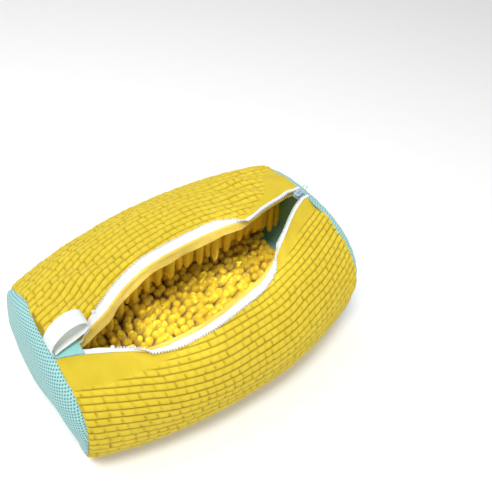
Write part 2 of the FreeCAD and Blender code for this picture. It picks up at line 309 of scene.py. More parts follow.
def add_cloth_map(piece, u, v):
    """Writes each point's place on the flat cloth, in metres, as a UV map."""
    layer = piece.data.uv_layers.new(name="cloth")
    corner = np.empty(len(piece.data.loops), dtype=np.int32)
    piece.data.loops.foreach_get("vertex_index", corner)
    pairs = np.stack([u.ravel()[corner], v.ravel()[corner]], axis=1).astype(np.float32)
    layer.data.foreach_set("uv", pairs.ravel())


# The pillows: length along the bag, width round it, how far they stand up. The rows are
# closer together on top, where the cloth is drawn towards the zip.
pillow_length = 0.0098
base_row_width = 0.0087
front_row_width = 0.0072
back_row_width = 0.0086
pillow_height = 0.0025
points_per_row = 7
points_per_base_row = 5
points_per_pillow = 5.7
rows_before = 54
rows_behind = 50
base_rows = 9
# Rows narrow towards the lips over some rows, after an even stretch under the bag.
even_rows = 19.0
narrowing_rows = 13.0
# How much the row lines follow the bag's shape at its ends, from 0 (fully) to 1 (not at all).
row_drift = 0.45
# How far a row strays from its even line.
waver_size = 0.0011
run_points = 1800
# The stretch of those points under the bag, where they only go from front to back.
base_points = slice(500, 1300)

middle_run = wrap(0.0, 0.0, 10)[1]


def rows_to_run(rows):
    """Distance round the bag from the middle of its base to a row, front rows negative."""
    top_width = np.where(rows < 0, front_row_width, back_row_width)
    count = np.abs(rows)
    past_even = count - even_rows
    t = np.clip(past_even / narrowing_rows, 0, 1)
    narrowed = narrowing_rows * t * t / 2 + np.maximum(past_even - narrowing_rows, 0)
    return np.sign(rows) * (count * base_row_width + (top_width - base_row_width) * narrowed)


row_lines = []
for row in range(-rows_before, rows_behind):
    finest = points_per_base_row if abs(row + 0.5) < base_rows else points_per_row
    row_lines.extend(row + k / finest for k in range(finest))
row_lines = np.array(row_lines)
cover_columns = len(row_lines)
cover_rows = int(round(2 * half_length / pillow_length * points_per_pillow)) + 1
stations = np.linspace(-half_length, half_length, cover_rows)
row_runs = rows_to_run(row_lines)
row_waver = waver_size * smooth_noise(cover_rows, cover_columns, 12, 26, 3)
cover_grid = np.empty((cover_rows, cover_columns, 3))
cover_grid[:, :, 0] = stations[:, None]
run_length = np.empty(cover_rows)
run_grid = np.empty((cover_rows, cover_columns))
for i, x in enumerate(stations):
    points, run_length[i] = wrap(x, pillow_height, run_points)
    steps = np.linspace(0, run_length[i], run_points)
    lowest = np.interp(0.0, points[base_points, 0], steps[base_points])
    scale = row_drift + (1 - row_drift) * run_length[i] / middle_run
    run_grid[i] = np.clip(lowest + row_runs * scale + row_waver[i], 0.0, run_length[i])
    cover_grid[i, :, 1] = np.interp(run_grid[i], steps, points[:, 0])
    cover_grid[i, :, 2] = np.interp(run_grid[i], steps, points[:, 1])
from_front = run_grid
from_back = run_length[:, None] - run_grid
station_grid = np.repeat(stations[:, None], cover_columns, axis=1)
from_left = station_grid + half_length
from_right = half_length - station_grid
first_column = (run_grid > 0).argmax(axis=1) - 1
last_column = cover_columns - (run_grid < run_length[:, None])[:, ::-1].argmax(axis=1)


def surface_normals(run):
    """Outward normals of the smooth cover at each point of the grid."""
    y = cover_grid[:, :, 1]
    z = cover_grid[:, :, 2]
    length = np.maximum(run[:, 1:] - run[:, :-1], 1e-9)
    flat = (run[:, 1:] - run[:, :-1]) < 1e-7
    dy = np.where(flat, 0, (y[:, 1:] - y[:, :-1]) / length)
    dz = np.where(flat, 0, (z[:, 1:] - z[:, :-1]) / length)
    dy = np.concatenate([dy, dy[:, -1:]], axis=1)
    dz = np.concatenate([dz, dz[:, -1:]], axis=1)
    for i in range(cover_rows):
        inside = np.nonzero(~np.concatenate([flat[i], flat[i, -1:]]))[0]
        nearest = np.clip(np.arange(cover_columns), inside[0], inside[-1])
        dy[i] = dy[i, nearest]
        dz[i] = dz[i, nearest]
    normal = np.stack([np.zeros_like(dy), dz * -1.0, dy], axis=2)
    return -normal / np.maximum(np.linalg.norm(normal, axis=2, keepdims=True), 1e-9)


def bump(value, centre, width):
    """Smooth hump of height 1 at centre."""
    return np.exp(-((value - centre) / width) ** 2)


# Large folds. A valley runs beside the front lip towards the slider, soft folds fan out
# from the ends of the mouth, and the cloth gathers a little where it meets the end panels.
valley_depth = 0.0036
fan_right_height = 0.0030
fan_left_height = 0.0028
gather_height = 0.0016
gather_reach = 0.030
dent_height = 0.0016
valley = -valley_depth * bump(from_front, 0.015, 0.011) * ease(station_grid, 0.040, 0.095)
fan_right = fan_right_height * np.sin((from_back - 0.9 * from_right) / 0.0062)
fan_right = fan_right * bump(from_right, 0.062, 0.030) * bump(from_back, 0.052, 0.040)
fan_left = fan_left_height * np.sin((from_back + 0.7 * from_left) / 0.0070)
fan_left = fan_left * bump(from_left, 0.060, 0.034) * bump(from_back, 0.050, 0.046)
near_seams = np.exp(-from_left / gather_reach) + np.exp(-from_right / gather_reach)
gather = gather_height * smooth_noise(cover_rows, cover_columns, 4, 46, 5) * near_seams
soft_dents = dent_height * smooth_noise(cover_rows, cover_columns, 7, 12, 11)
lip_edge = np.minimum(1.0, np.minimum(from_front, from_back) / 0.02)
folds = valley + fan_right + fan_left + (gather + soft_dents) * lip_edge
rests = ease(cover_grid[:, :, 2], 0.006, 0.030)
outward = surface_normals(run_grid)
cover_grid = cover_grid + outward * (folds * rests)[:, :, None]

# Plain, unquilted margins: a strip beside the front lip, wide at the left end, and a wedge
# behind the slider.
front_margin_x = [-0.172, -0.143, -0.116, -0.089, -0.055, -0.030, 0.050, 0.090, 0.130, 0.172]
front_margin_width = [0.034, 0.033, 0.024, 0.016, 0.006, 0.004, 0.006, 0.013, 0.016, 0.020]
back_margin_x = [-0.172, -0.140, 0.100, 0.128, 0.150, 0.172]
back_margin_width = [0.008, 0.005, 0.005, 0.014, 0.040, 0.055]


def plain_share(from_lip, margin):
    """1 inside the unquilted margin of that width beside a lip, 0 past it."""
    return 1 - ease(from_lip, margin - 0.002, margin + 0.003)


front_margin = np.interp(stations, front_margin_x, front_margin_width)[:, None]
back_margin = np.interp(stations, back_margin_x, back_margin_width)[:, None]
plain = np.maximum(plain_share(from_front, front_margin), plain_share(from_back, back_margin))
from_end = np.minimum(from_left, from_right)

# Each row's pillows are shifted a little along the bag from the last row's, one way or the
# other, and each pillow is plumped by its own amount. Squareness flattens a pillow's top.
row_squareness = 3.6
pillow_squareness = 5.0
ridge = 0.10
row_index = np.floor(row_lines + 1e-6).astype(int)
in_row = (row_lines - row_index) * 2 - 1
row_key = row_index - row_index.min()
shuffle = np.random.default_rng(21)
row_shift = np.cumsum(shuffle.choice([-0.32, -0.10, 0.08, 0.30], row_key.max() + 1))[row_key]
wobble = 0.22 * smooth_noise(cover_rows, cover_columns, 14, 60, 8)
pillow_place = from_left / pillow_length + row_shift[None, :] + wobble
pillow_index = np.maximum(np.floor(pillow_place).astype(int), 0)
in_pillow = (pillow_place - pillow_index) * 2 - 1
plumpness = shuffle.uniform(0.80, 1.10, (pillow_index.max() + 2, row_key.max() + 1))
plump = plumpness[pillow_index, np.broadcast_to(row_key, pillow_index.shape)]
row_profile = np.sqrt(np.maximum(0, 1 - np.abs(in_row) ** row_squareness))[None, :]
pillow_profile = np.sqrt(np.maximum(0, 1 - np.abs(np.clip(in_pillow, -1, 1)) ** pillow_squareness))
quilting = plump * row_profile * (ridge + (1 - ridge) * pillow_profile)
quilted = 1 - plain
plain_rise = 0.35
seam_dip = 0.0018
seam_reach = 0.0016
rise = pillow_height * (quilting * quilted + plain_rise * plain)
rise = rise - seam_dip * np.exp(-from_end / seam_reach)
cover_points = cover_grid + outward * rise[:, :, None]
cover_points[:, :, 2] = np.maximum(cover_points[:, :, 2], 0.0002)


corner_push = 0.0105


def lean_end(points):
    """The lower front corner at the left end is pushed out by the cloth folded behind it."""
    x, y, z = points[..., 0], points[..., 1], points[..., 2]
    push = ease(-x, 0.095, half_length) * ease(-y, 0.010, 0.085) * (1 - ease(z, 0.030, 0.115))
    moved = points.copy()
    moved[..., 0] -= corner_push * push
    return moved


cover_points = lean_end(cover_points)
cover_points[:, :, 0] += middle_x

# The cloth stops at the lips, and its edges turn in by its own thickness.
cover_thickness = 0.0035
index = np.arange(cover_rows)[:, None] * cover_columns
held_column = np.clip(np.arange(cover_columns)[None, :], first_column[:, None], last_column[:, None])
held = index + held_column
corners = np.stack([held[:-1, :-1], held[:-1, 1:], held[1:, 1:], held[1:, :-1]], axis=-1).reshape(-1, 4)
cover_faces = []
for face in corners.tolist():
    kept = [face[k] for k in range(4) if face[k] != face[k - 1]]
    if len(kept) >= 3 and len(set(kept)) == len(kept):
        cover_faces.append(kept)
flat_points = cover_points.reshape(-1, 3)
rim = [index[0, 0] + k for k in range(first_column[0], last_column[0])]
rim += [index[i, 0] + last_column[i] for i in range(cover_rows - 1)]
rim += [index[-1, 0] + k for k in range(last_column[-1], first_column[-1], -1)]
rim += [index[i, 0] + first_column[i] for i in range(cover_rows - 1, 0, -1)]
rim = np.array(rim)
rim_inner = flat_points[rim] - outward.reshape(-1, 3)[rim] * cover_thickness
rim_start = len(flat_points)
after = np.roll(np.arange(len(rim)), -1)
rim_faces = np.stack([rim[after], rim_start + after, rim_start + np.arange(len(rim)), rim], axis=1).tolist()
all_points = np.concatenate([flat_points, rim_inner])
all_faces = cover_faces + rim_faces
used = np.unique(np.concatenate([np.array(face) for face in all_faces]))
renumber = np.zeros(len(all_points), dtype=int)
renumber[used] = np.arange(len(used))
all_faces = [[int(renumber[k]) for k in face] for face in all_faces]


def raise_grain(nodes, links, shader, grain, strength, distance):
    """Fine relief on a finish, that high where the grain is full."""
    relief = nodes.new("ShaderNodeBump")
    relief.inputs["Strength"].default_value = strength
    relief.inputs["Distance"].default_value = distance
    links.new(grain, relief.inputs["Height"])
    links.new(relief.outputs["Normal"], shader.inputs["Normal"])


def add_together(nodes, links, first, second):
    total = nodes.new("ShaderNodeMath")
    total.operation = "ADD"
    links.new(first, total.inputs[0])
    links.new(second, total.inputs[1])
    return total.outputs[0]


def darken(nodes, links, shader, name, plain_colour, shade_colour):
    """Paints shade: goes from the plain colour to the shade colour by the named attribute of the mesh."""
    depth = nodes.new("ShaderNodeAttribute")
    depth.attribute_name = name
    mixed = nodes.new("ShaderNodeMix")
    mixed.data_type = "RGBA"
    mixed.inputs["B"].default_value = (*shade_colour, 1)
    links.new(depth.outputs["Fac"], mixed.inputs["Factor"])
    links.new(plain_colour, mixed.inputs["A"])
    links.new(mixed.outputs["Result"], shader.inputs["Base Color"])


def cloth_place(nodes):
    """Place on the flat cloth, in metres."""
    place = nodes.new("ShaderNodeUVMap")
    place.uv_map = "cloth"
    return place.outputs["UV"]


def piece_place(nodes):
    """Place in the piece's own axes, in metres."""
    return nodes.new("ShaderNodeTexCoord").outputs["Object"]


quilt_cloth, nodes, links, shader = new_material("quilted_yellow_cloth", (0.80, 0.60, 0.05), 0.88)
shader.inputs["Sheen Weight"].default_value = 0.10
shader.inputs["Sheen Roughness"].default_value = 0.5
shader.inputs["Specular IOR Level"].default_value = 0.25
quilt_place = cloth_place(nodes)
mottle = add_noise(nodes, links, quilt_place, 60.0, 4.0)
yellow = colour_range(nodes, links, mottle, (0.68, 0.510, 0.026), (0.75, 0.575, 0.038), 0.3, 0.7)
# Painted shade: the stitched grooves and the plain margins beside the lips are darkened towards a deep olive
# by the groove attribute.
darken(nodes, links, shader, "shade_in_grooves", yellow, (0.30, 0.19, 0.006))
thread_waves = nodes.new("ShaderNodeTexWave")
thread_waves.bands_direction = "DIAGONAL"
thread_waves.inputs["Scale"].default_value = 420.0
thread_waves.inputs["Distortion"].default_value = 3.0
thread_waves.inputs["Detail"].default_value = 2.0
links.new(quilt_place, thread_waves.inputs["Vector"])
nap = add_noise(nodes, links, quilt_place, 900.0, 3.0)
weave = add_together(nodes, links, thread_waves.outputs["Fac"], nap)
raise_grain(nodes, links, shader, weave, 0.35, 0.0004)

cover = mesh_object("quilted_cover", all_points[used], all_faces, quilt_cloth)
# How much painted shade darkens the stitched grooves, and the plain margins beside them.
groove_shade_strength = 0.92
groove_narrowness = 1.2
margin_shade_strength = 0.20
groove_shade_share = (1 - np.minimum(row_profile, pillow_profile)) ** groove_narrowness * groove_shade_strength
painted_groove_shade = np.clip(groove_shade_share * quilted + margin_shade_strength * plain, 0, 0.9)


def on_cover(values):
    flat_values = np.broadcast_to(values, (cover_rows, cover_columns)).reshape(-1)
    return np.concatenate([flat_values, flat_values[rim]])[used]


add_attribute(cover, "shade_in_grooves", on_cover(painted_groove_shade))
add_cloth_map(cover, on_cover(station_grid), on_cover(from_front))
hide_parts("outer_cover")
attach(cover, "bag")


# ------------------------------------------------------------------ backing and facings
# The plain woven cloth behind the quilting, which the pile is tufted through, and a
# strip of the same cloth that faces each lip of the mouth on the inside.
backing_inset = 0.0078
backing_columns = 200
backing_rows = 96
backing_end_gap = 0.001
backing_lip_gap = 0.0015
backing_x = np.linspace(-half_length + backing_end_gap, half_length - backing_end_gap, backing_rows)
backing_grid = np.empty((backing_rows, backing_columns, 3))
backing_grid[:, :, 0] = backing_x[:, None] + middle_x
backing_grid[:, :, 1:] = np.stack(
    [wrap(x, backing_inset, backing_columns, backing_lip_gap)[0] for x in backing_x])

# Painted shade: this plain yellow is darker than the quilted cloth's, standing for the shade on the facings
# and backing inside the mouth.
plain_cloth, nodes, links, shader = new_material("plain_yellow_cloth", (0.80, 0.60, 0.09), 0.85)
shader.inputs["Sheen Weight"].default_value = 0.2
shader.inputs["Specular IOR Level"].default_value = 0.25
plain_place = piece_place(nodes)
plain_mottle = add_noise(nodes, links, plain_place, 90.0, 5.0)
shaded_plain_yellow = colour_range(nodes, links, plain_mottle, (0.62, 0.44, 0.06), (0.69, 0.51, 0.09), 0.3, 0.7)
links.new(shaded_plain_yellow, shader.inputs["Base Color"])
plain_weave = add_noise(nodes, links, plain_place, 1400.0)
raise_grain(nodes, links, shader, plain_weave, 0.3, 0.0003)

backing_faces = grid_faces(backing_rows, backing_columns, flip=True)
backing = mesh_object("backing", lean_end(backing_grid).reshape(-1, 3), backing_faces, plain_cloth)
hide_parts("cover_backing")
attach(backing, "bag")


def strip_solid(outer, inner):
    """Closed band from two (rows, columns, 3) grids of points, outside and inside."""
    rows, columns = outer.shape[:2]
    size = rows * columns
    points = np.concatenate([outer.reshape(-1, 3), inner.reshape(-1, 3)])
    faces = [grid_faces(rows, columns), grid_faces(rows, columns, size, flip=True)]
    index = np.arange(size).reshape(rows, columns)
    rim_loop = np.concatenate([index[0, :], index[1:, -1], index[-1, -2::-1], index[-2:0:-1, 0]])
    nxt = np.roll(rim_loop, -1)
    faces.append(np.stack([nxt, rim_loop, rim_loop + size, nxt + size], axis=1))
    return points, np.concatenate(faces)


facing_rows = 260
facing_columns = 22
facing_depth = {"front": 0.010, "back": 0.0065}
facing_thickness = 0.0010
facing_hang = {"front": 0.0030, "back": 0.0035}
facing_from_x = -0.147
# Share of the strip's width that lies over the lip. The rest hangs inside.
over_share = 0.4
# How far from the lip the tape is sewn, where the cloth rolls over and out.
roll_width = {"front": 0.0015, "back": 0.0010}


def tape_seam(side, x):
    """How far out from the lip the tape is sewn at x."""
    turn = lip_at(side, x)[1]
    return roll_width[side] * ease(turn, 0.15, 0.9)


for side in ("front", "back"):
    x = np.linspace(facing_from_x, half_length - backing_end_gap, facing_rows)
    lip_y, turn, _ = lip_at(side, x)
    out_turned = ease(turn, 0.1, 0.8)
    seam_y = tape_seam(side, x) + 0.002 * out_turned
    t = np.linspace(0, 1, facing_columns)[None, :]
    ripple = smooth_noise(facing_rows, facing_columns, 18, 2, 31 if side == "front" else 32)
    over = np.clip(t / over_share, 0, 1)
    under = np.clip((t - over_share) / (1 - over_share), 0, 1)
    from_lip = -seam_y[:, None] * (1 - over) + facing_hang[side] * under ** 1.4 + 0.0011 * ripple * under
    y = lip_y[:, None] + inwards[side] * from_lip
    on_top = top_z(x[:, None], y)
    arch = (0.0013 * np.sin(np.pi * over) + 0.0010 * (1 - under)) * out_turned[:, None]
    arch = arch - 0.0030 * (1 - out_turned[:, None])
    z = np.where(under > 0, top_z(x, lip_y)[:, None], on_top) + arch - facing_depth[side] * under ** 1.15
    outer = np.stack([np.repeat(x[:, None], facing_columns, 1), y, z], axis=2)
    normal = grid_normals(outer) * inwards[side]
    outer[:, :, 0] += middle_x
    points, faces = strip_solid(outer, outer - normal * facing_thickness)
    facing_strip = mesh_object("facing_" + side + "_strip", points, faces, plain_cloth)
    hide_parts("facing_" + side)
    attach(facing_strip, "bag")


# ------------------------------------------------------------------ chenille pile
# Many soft round-ended fingers of yellow chenille yarn, tufted through the backing. Those
# high on the walls hang down, those on the base stand up and lean the same way in patches.
finger_sides = 10
finger_radius = 0.0051
finger_spacing = 0.0111
pile_inset = 0.0082
pile_lip_gap = 0.0110
pile_reach_left = 0.150
pile_reach_right = 0.163
# Rows of fingers are a little closer together than the fingers in a row.
row_closeness = 0.87
# Share along each finger and its thickness there: the last few make the round end.
finger_steps = np.array([0.0, 0.25, 0.50, 0.70, 0.825, 0.912, 0.963, 0.991, 1.0])
finger_taper = np.array([0.80, 0.98, 1.02, 1.03, 1.0, 0.87, 0.62, 0.33, 0.10])
finger_rings = len(finger_steps)

chenille, nodes, links, shader = new_material("yellow_chenille", (0.90, 0.64, 0.08), 0.95)
shader.inputs["Sheen Weight"].default_value = 0.15
shader.inputs["Sheen Roughness"].default_value = 0.4
shader.inputs["Specular IOR Level"].default_value = 0.2
# Painted light: the yarn's yellow is brighter than the cover's to stand for light inside the mouth. Painted
# shade darkens each finger towards its root, where the fingers crowd.
yarn = add_noise(nodes, links, piece_place(nodes), 700.0, 4.0)
brightened_yarn_yellow = colour_range(nodes, links, yarn, (0.90, 0.62, 0.026), (0.98, 0.74, 0.050), 0.3, 0.7)
darken(nodes, links, shader, "root", brightened_yarn_yellow, (0.55, 0.22, 0.005))
raise_grain(nodes, links, shader, yarn, 0.3, 0.0006)


def finger_mesh(path, radius):
    """Rings of points round a bent centre line with rounded ends. Returns points and painted root shade."""
    here = path(finger_steps)
    run = np.gradient(here, axis=0)
    run /= np.linalg.norm(run, axis=1, keepdims=True)
    helper = np.array([0.31, 0.83, 0.46])
    first = np.cross(run, helper)
    first /= np.linalg.norm(first, axis=1, keepdims=True)
    second = np.cross(run, first)
    thickness = finger_taper * radius
    turn = np.linspace(0, 2 * np.pi, finger_sides, endpoint=False)
    ring = np.cos(turn)[None, :, None] * first[:, None, :] + np.sin(turn)[None, :, None] * second[:, None, :]
    points = here[:, None, :] + ring * thickness[:, None, None]
    shade = np.repeat(np.clip(1.0 - finger_steps * 2.2, 0, 1)[:, None], finger_sides, axis=1)
    return points.reshape(-1, 3), shade.reshape(-1)


def tip_drop(root, direction, pull, length):
    """Centre line that leaves its root along direction and bends by pull."""
    def path(t):
        return root + np.outer(t, direction) * length + np.outer(t ** 2, pull) * length
    return path


# Fingers lean together in patches: a soft field over the pile gives each one its lean.
# Low fingers also lean towards the left and the front, and those at the right end spill over.
field_rows = 60
field_columns = 90
patch_lean_along = 0.28
patch_lean_across = 0.24
low_lean_along = 0.22
low_lean_across = 0.34
spill_lean = 0.2
stray_lean = 0.12
share_scatter = 0.15
root_scatter = 0.0012
droop = 0.80
sway = 0.15
shortest_finger = 0.025
longest_finger = 0.030
extra_at_right_end = 0.008
root_places = 900
wall_from_z = 0.045
upper_wall_from_z = 0.075
pile_random = np.random.default_rng(77)
pile = {"chenille_front": [], "chenille_base": [], "chenille_back": []}
lean_field = smooth_noise(field_rows, field_columns, 7, 9, 41)
lean_field_across = smooth_noise(field_rows, field_columns, 7, 9, 42)
for row, x in enumerate(np.arange(-pile_reach_left, pile_reach_right, finger_spacing * row_closeness)):
    points, length = wrap(x, pile_inset, root_places, pile_lip_gap)
    count = int(length / finger_spacing)
    offset = 0.5 * (row % 2)
    for column in range(count):
        share = (column + offset + 0.5) / (count + 1)
        share += pile_random.uniform(-share_scatter, share_scatter) / count
        spot = int(share * (root_places - 1))
        y, z = points[spot]
        ahead = points[min(spot + 4, root_places - 1)] - points[max(spot - 4, 0)]
        ahead /= np.linalg.norm(ahead)
        inward = np.array([0.0, -ahead[1], ahead[0]])
        root = np.array([x + pile_random.uniform(-root_scatter, root_scatter), y, z])
        field_row = min(int((x + pile_reach_left) / (2 * pile_reach_left) * (field_rows - 1)), field_rows - 1)
        field_column = int(share * (field_columns - 1))
        lean = lean_field[field_row, field_column]
        lean_across = lean_field_across[field_row, field_column]
        if z > upper_wall_from_z:
            lean *= 0.3
            lean_across = 0.0
        low = 1 - ease(z, 0.030, 0.080)
        spill = spill_lean * float(ease(x, 0.120, 0.155))
        lean_x = lean * patch_lean_along - low_lean_along * low + spill
        lean_y = lean_across * patch_lean_across - low_lean_across * low
        direction = inward + np.array([lean_x, lean_y, 0.0])
        direction += pile_random.uniform(-stray_lean, stray_lean, 3)
        direction /= np.linalg.norm(direction)
        upright = inward[2]
        slump = np.clip(0.85 - upright * 0.9, 0.0, 1.5)
        pull = np.array([lean * sway, 0.0, -droop * slump])
        finger_length = pile_random.uniform(shortest_finger, longest_finger)
        finger_length += extra_at_right_end * float(ease(x, 0.110, 0.150))
        if z > wall_from_z:
            name = "chenille_front" if y < lip_at("front", x)[0] + 0.03 else "chenille_back"
        else:
            name = "chenille_base"
        pile[name].append((tip_drop(root, direction, pull, finger_length),
                           finger_radius * pile_random.uniform(0.90, 1.06)))

for name, fingers in pile.items():
    points = []
    shades = []
    for path, radius in fingers:
        finger_points, shade = finger_mesh(path, radius)
        points.append(finger_points)
        shades.append(shade)
    size = finger_rings * finger_sides
    one = grid_faces(finger_rings, finger_sides, close_columns=True)
    count = len(fingers)
    faces = (one[None, :, :] + (np.arange(count) * size)[:, None, None]).reshape(-1, 4).tolist()
    for i in range(count):
        faces.append([i * size + (finger_rings - 1) * finger_sides + k for k in range(finger_sides)])
        faces.append([i * size + k for k in range(finger_sides - 1, -1, -1)])
    points = np.concatenate(points)
    points[:, 0] += middle_x
    fingers_piece = mesh_object(name + "_fingers", points, faces, chenille)
    add_attribute(fingers_piece, "root", np.concatenate(shades))
    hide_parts(name)
    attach(fingers_piece, "bag")


# ------------------------------------------------------------------ zip tapes and teeth
# Two white woven tapes sewn along the lips. At both ends they lie into the mouth, in the
# middle they turn over and lie out on the cover. Nylon teeth are sewn along the free edges.
tape_thickness = 0.0009
teeth_width = 0.0026
tape_depth = 0.0015
tape_lift = 0.0017
tape_ripple = 0.0009
slider_start = np.array([0.162, 0.0])
slider_end = np.array([-0.114, -0.045])
start_z = top_z(*slider_start) - tape_depth
end_z = top_z(*slider_end) - tape_depth


# Share of the tape's width that shows: it is tucked in narrow where it twists over.
twist_places = {
    "front": [-0.172, -0.150, -0.125, -0.108, -0.095, -0.070, 0.040, 0.062, 0.078, 0.090, 0.110, 0.172],
    "back": [-0.172, -0.140, -0.128, -0.100, 0.040, 0.062, 0.078, 0.090, 0.110, 0.172]}
twist_widths = {"front": [1.0, 1.0, 0.70, 0.32, 0.34, 0.58, 0.72, 0.58, 0.48, 0.50, 0.45, 0.40],
                "back": [0.8, 0.8, 0.82, 0.84, 0.80, 0.52, 0.36, 0.38, 0.42, 0.42]}


def zip_plane_z(x):
    return start_z + (x - slider_start[0]) * (end_z - start_z) / (slider_end[0] - slider_start[0])


def tape_line(side, x):
    """Sewn edge, direction across the tape, its upright and the tape's width, at stations x."""
    lip_y, turn, width = lip_at(side, x)
    lip_y = lip_y - inwards[side] * tape_seam(side, x)
    width = width * np.interp(x, twist_places[side], twist_widths[side])
    angle = np.pi * turn
    turned = (1 - np.cos(angle)) / 2
    flat = ease(x, 0.078, 0.096)
    sewn_z = top_z(x, lip_y) - tape_depth + (tape_depth + tape_lift) * turned
    sewn_z = sewn_z * (1 - flat) + zip_plane_z(x) * flat
    full = width + teeth_width
    free_y = lip_y + inwards[side] * full * np.cos(angle)
    drop = (top_z(x, free_y) - top_z(x, lip_y)) * turned
    free_z = sewn_z + full * np.sin(angle) + drop
    sewn = np.stack([x, lip_y, sewn_z], axis=1)
    across = np.stack([x, free_y, free_z], axis=1) - sewn
    across /= np.linalg.norm(across, axis=1, keepdims=True)
    upright = np.cross(across, np.array([1.0, 0, 0]))
    upright /= np.linalg.norm(upright, axis=1, keepdims=True)
    return sewn, across, upright, width


tape_cloth, nodes, links, shader = new_material("white_zip_tape", (0.88, 0.88, 0.86), 0.8)
shader.inputs["Specular IOR Level"].default_value = 0.3
tape_place = cloth_place(nodes)
tape_ribs = nodes.new("ShaderNodeTexWave")
tape_ribs.bands_direction = "Y"
tape_ribs.inputs["Scale"].default_value = 330.0
tape_ribs.inputs["Distortion"].default_value = 0.6
links.new(tape_place, tape_ribs.inputs["Vector"])
tape_threads = add_noise(nodes, links, tape_place, 1500.0)
tape_weave = add_together(nodes, links, tape_ribs.outputs["Fac"], tape_threads)
raise_grain(nodes, links, shader, tape_weave, 0.35, 0.0003)
tape_white = colour_range(nodes, links, tape_threads, (0.74, 0.76, 0.76), (0.82, 0.84, 0.84))
links.new(tape_white, shader.inputs["Base Color"])

nylon, nodes, links, shader = new_material("white_nylon_teeth", (0.86, 0.87, 0.88), 0.35)
shader.inputs["Specular IOR Level"].default_value = 0.5
tooth_mottle = add_noise(nodes, links, piece_place(nodes), 400.0)
tooth_grey = colour_range(nodes, links, tooth_mottle, (0.56, 0.60, 0.62), (0.74, 0.77, 0.78))
links.new(tooth_grey, shader.inputs["Base Color"])

tape_rows = 420
tape_columns = 9
tooth_pitch = 0.0030
tooth_length = 0.0018
tooth_thickness = 0.0019
tooth_foot = 0.0010
tooth_reach = teeth_width + 0.0004
teeth_from_x = -0.120
teeth_to_x = 0.168
# Clear space between the last tooth and the stop.
stop_gap = 0.0023
tape_from_x = -0.171
tape_to_x = 0.1712


def tooth_shape():
    """One tooth: a bar with rounded head, in its own axes (along, across, up)."""
    profile = [(-0.5, 0.0), (-0.5, 0.55), (-0.42, 0.82), (-0.2, 1.0),
               (0.2, 1.0), (0.42, 0.82), (0.5, 0.55), (0.5, 0.0)]
    points = []
    for level, shrink in ((-0.5, 0.72), (-0.32, 1.0), (0.32, 1.0), (0.5, 0.72)):
        for a, b in profile:
            across = b * (0.9 + 0.1 * shrink) * tooth_reach - tooth_foot
            points.append((a * shrink * tooth_length, across, level * tooth_thickness))
    count = len(profile)
    faces = grid_faces(4, count, close_columns=True).tolist()
    faces.append(list(range(count - 1, -1, -1)))
    faces.append(list(range(3 * count, 4 * count)))
    return np.array(points), faces


# The six sides of a block whose corners go round its lower face and then its upper one.
block_faces = [(0, 3, 2, 1), (4, 5, 6, 7), (0, 1, 5, 4), (1, 2, 6, 5), (2, 3, 7, 6), (3, 0, 4, 7)]
stop_length = 0.0036
stop_reach = 0.0036
stop_thickness = 0.0028
stop_overlap = 0.0008


def stop_corners(sewn, across, upright, width):
    """Corners of a block clamped over the free edge of a tape."""
    along_bag = np.array([1.0, 0, 0])
    points = []
    for level in (-1, 1):
        for a, b in ((-1, 0), (1, 0), (1, 1), (-1, 1)):
            where = sewn + along_bag * (a * stop_length / 2)
            where = where + across * (width - stop_overlap + b * stop_reach)
            points.append(where + upright * (level * stop_thickness / 2))
    return np.array(points)


def round_off(piece, width, segments=3):
    bevel = piece.modifiers.new("round", "BEVEL")
    bevel.width = width
    bevel.segments = segments
    bevel.limit_method = "ANGLE"


